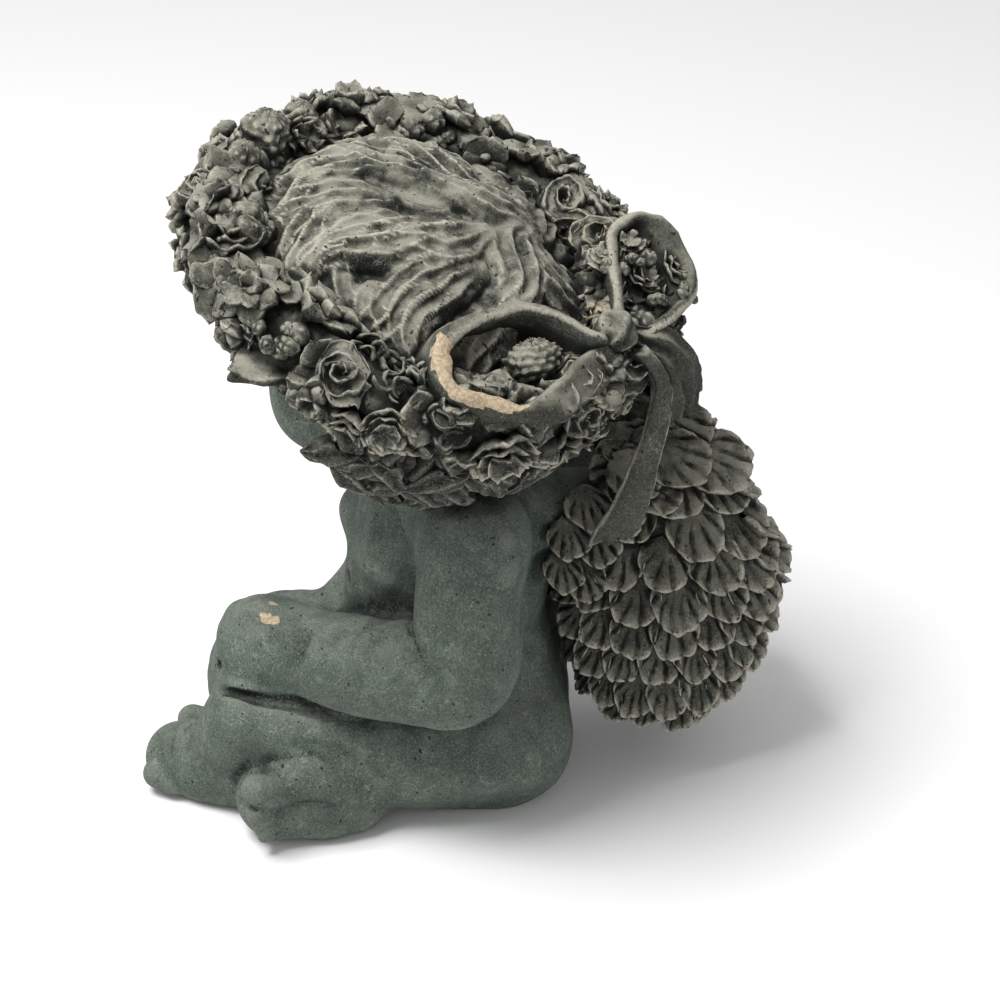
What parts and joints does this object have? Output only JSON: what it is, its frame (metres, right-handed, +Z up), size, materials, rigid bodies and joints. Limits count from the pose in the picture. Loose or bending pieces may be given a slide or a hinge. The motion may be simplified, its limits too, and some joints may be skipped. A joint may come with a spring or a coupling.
{
  "type": "cast garden statue",
  "caption": "Seated winged putto with crossed ankles and folded arms, bowed under a thick flower wreath tied with a ribbon bow.",
  "frame": {"origin": "middle of the bounding box at floor level, under the seat", "axes": "+Z up; the figure faces -Y, its left hand is towards +X and its wings towards +Y"},
  "size_m": [0.1836, 0.2682, 0.2873],
  "materials": {
    "casting": "matt painted verdigris patina over a tan cast body"
  },
  "bodies": {
    "root": {"putto": "casting"}
  },
  "joints": []
}
